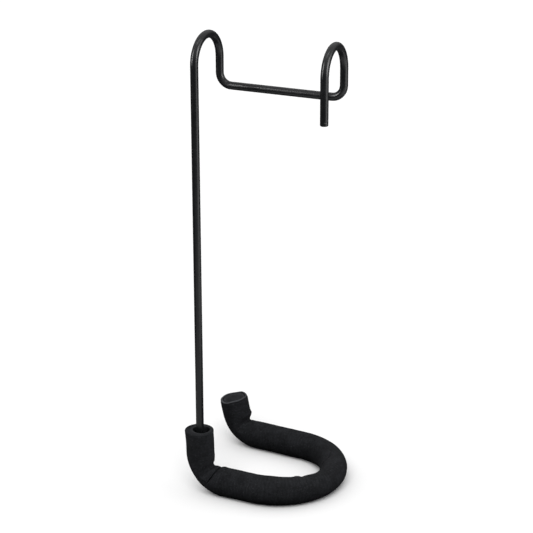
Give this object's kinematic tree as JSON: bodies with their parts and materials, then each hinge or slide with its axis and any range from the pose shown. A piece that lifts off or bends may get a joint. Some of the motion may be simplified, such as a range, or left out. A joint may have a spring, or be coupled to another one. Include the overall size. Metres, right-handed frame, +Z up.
{
  "type": "hook-over rod rest",
  "caption": "Hook-over rest bent from one black steel rod: hooks on a cross bar, a tall post, and a flat foam-padded U foot whose far end turns up.",
  "frame": {"origin": "middle of the object's outer box, on the floor that the padded foot rests on", "axes": "+Z up along the post; +X from the post along the cross bar and along the foot's front leg; +Y from the post's side of the hooks across the rail to the cross bar's side"},
  "size_m": [0.179, 0.1504, 0.4799],
  "materials": {
    "rod_coat": "satin black powder coat over steel",
    "foam": "matt black closed-cell foam",
    "foam_plug": "matt black foam, cut face"
  },
  "bodies": {
    "root": {"rod": "rod_coat", "foam_sleeve": "foam", "end_plug": "foam_plug"}
  },
  "joints": []
}
